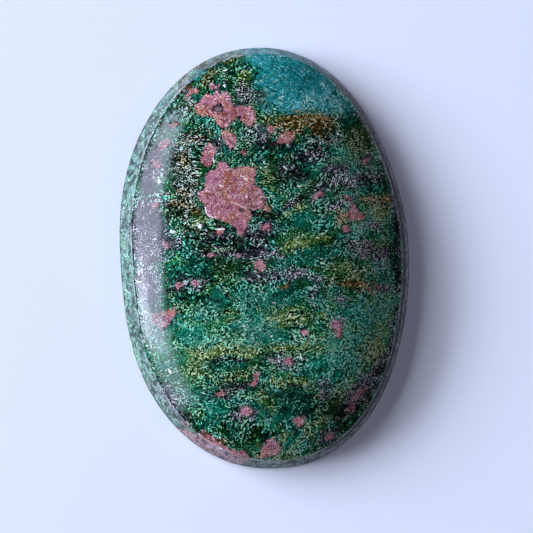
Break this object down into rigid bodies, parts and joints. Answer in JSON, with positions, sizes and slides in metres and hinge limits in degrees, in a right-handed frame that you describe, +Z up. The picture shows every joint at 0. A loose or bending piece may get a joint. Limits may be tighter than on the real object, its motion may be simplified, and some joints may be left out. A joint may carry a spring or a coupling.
{
  "type": "ruby in fuchsite cabochon",
  "caption": "Oval polished stone with a low dome, a leaning wall and a flat back. It rests on its back, or is set in a bezel.",
  "frame": {"origin": "middle of the flat back, on the surface that the stone rests on", "axes": "+Y along the oval's length, +X across it, +Z up out of the dome"},
  "size_m": [0.031, 0.045, 0.0064],
  "materials": {
    "polished_stone": "polished to a soft gloss on the dome and wall, lapped satin on the back; green mica rock with pink ruby crystals"
  },
  "bodies": {
    "root": {"cabochon": "polished_stone"}
  },
  "joints": []
}
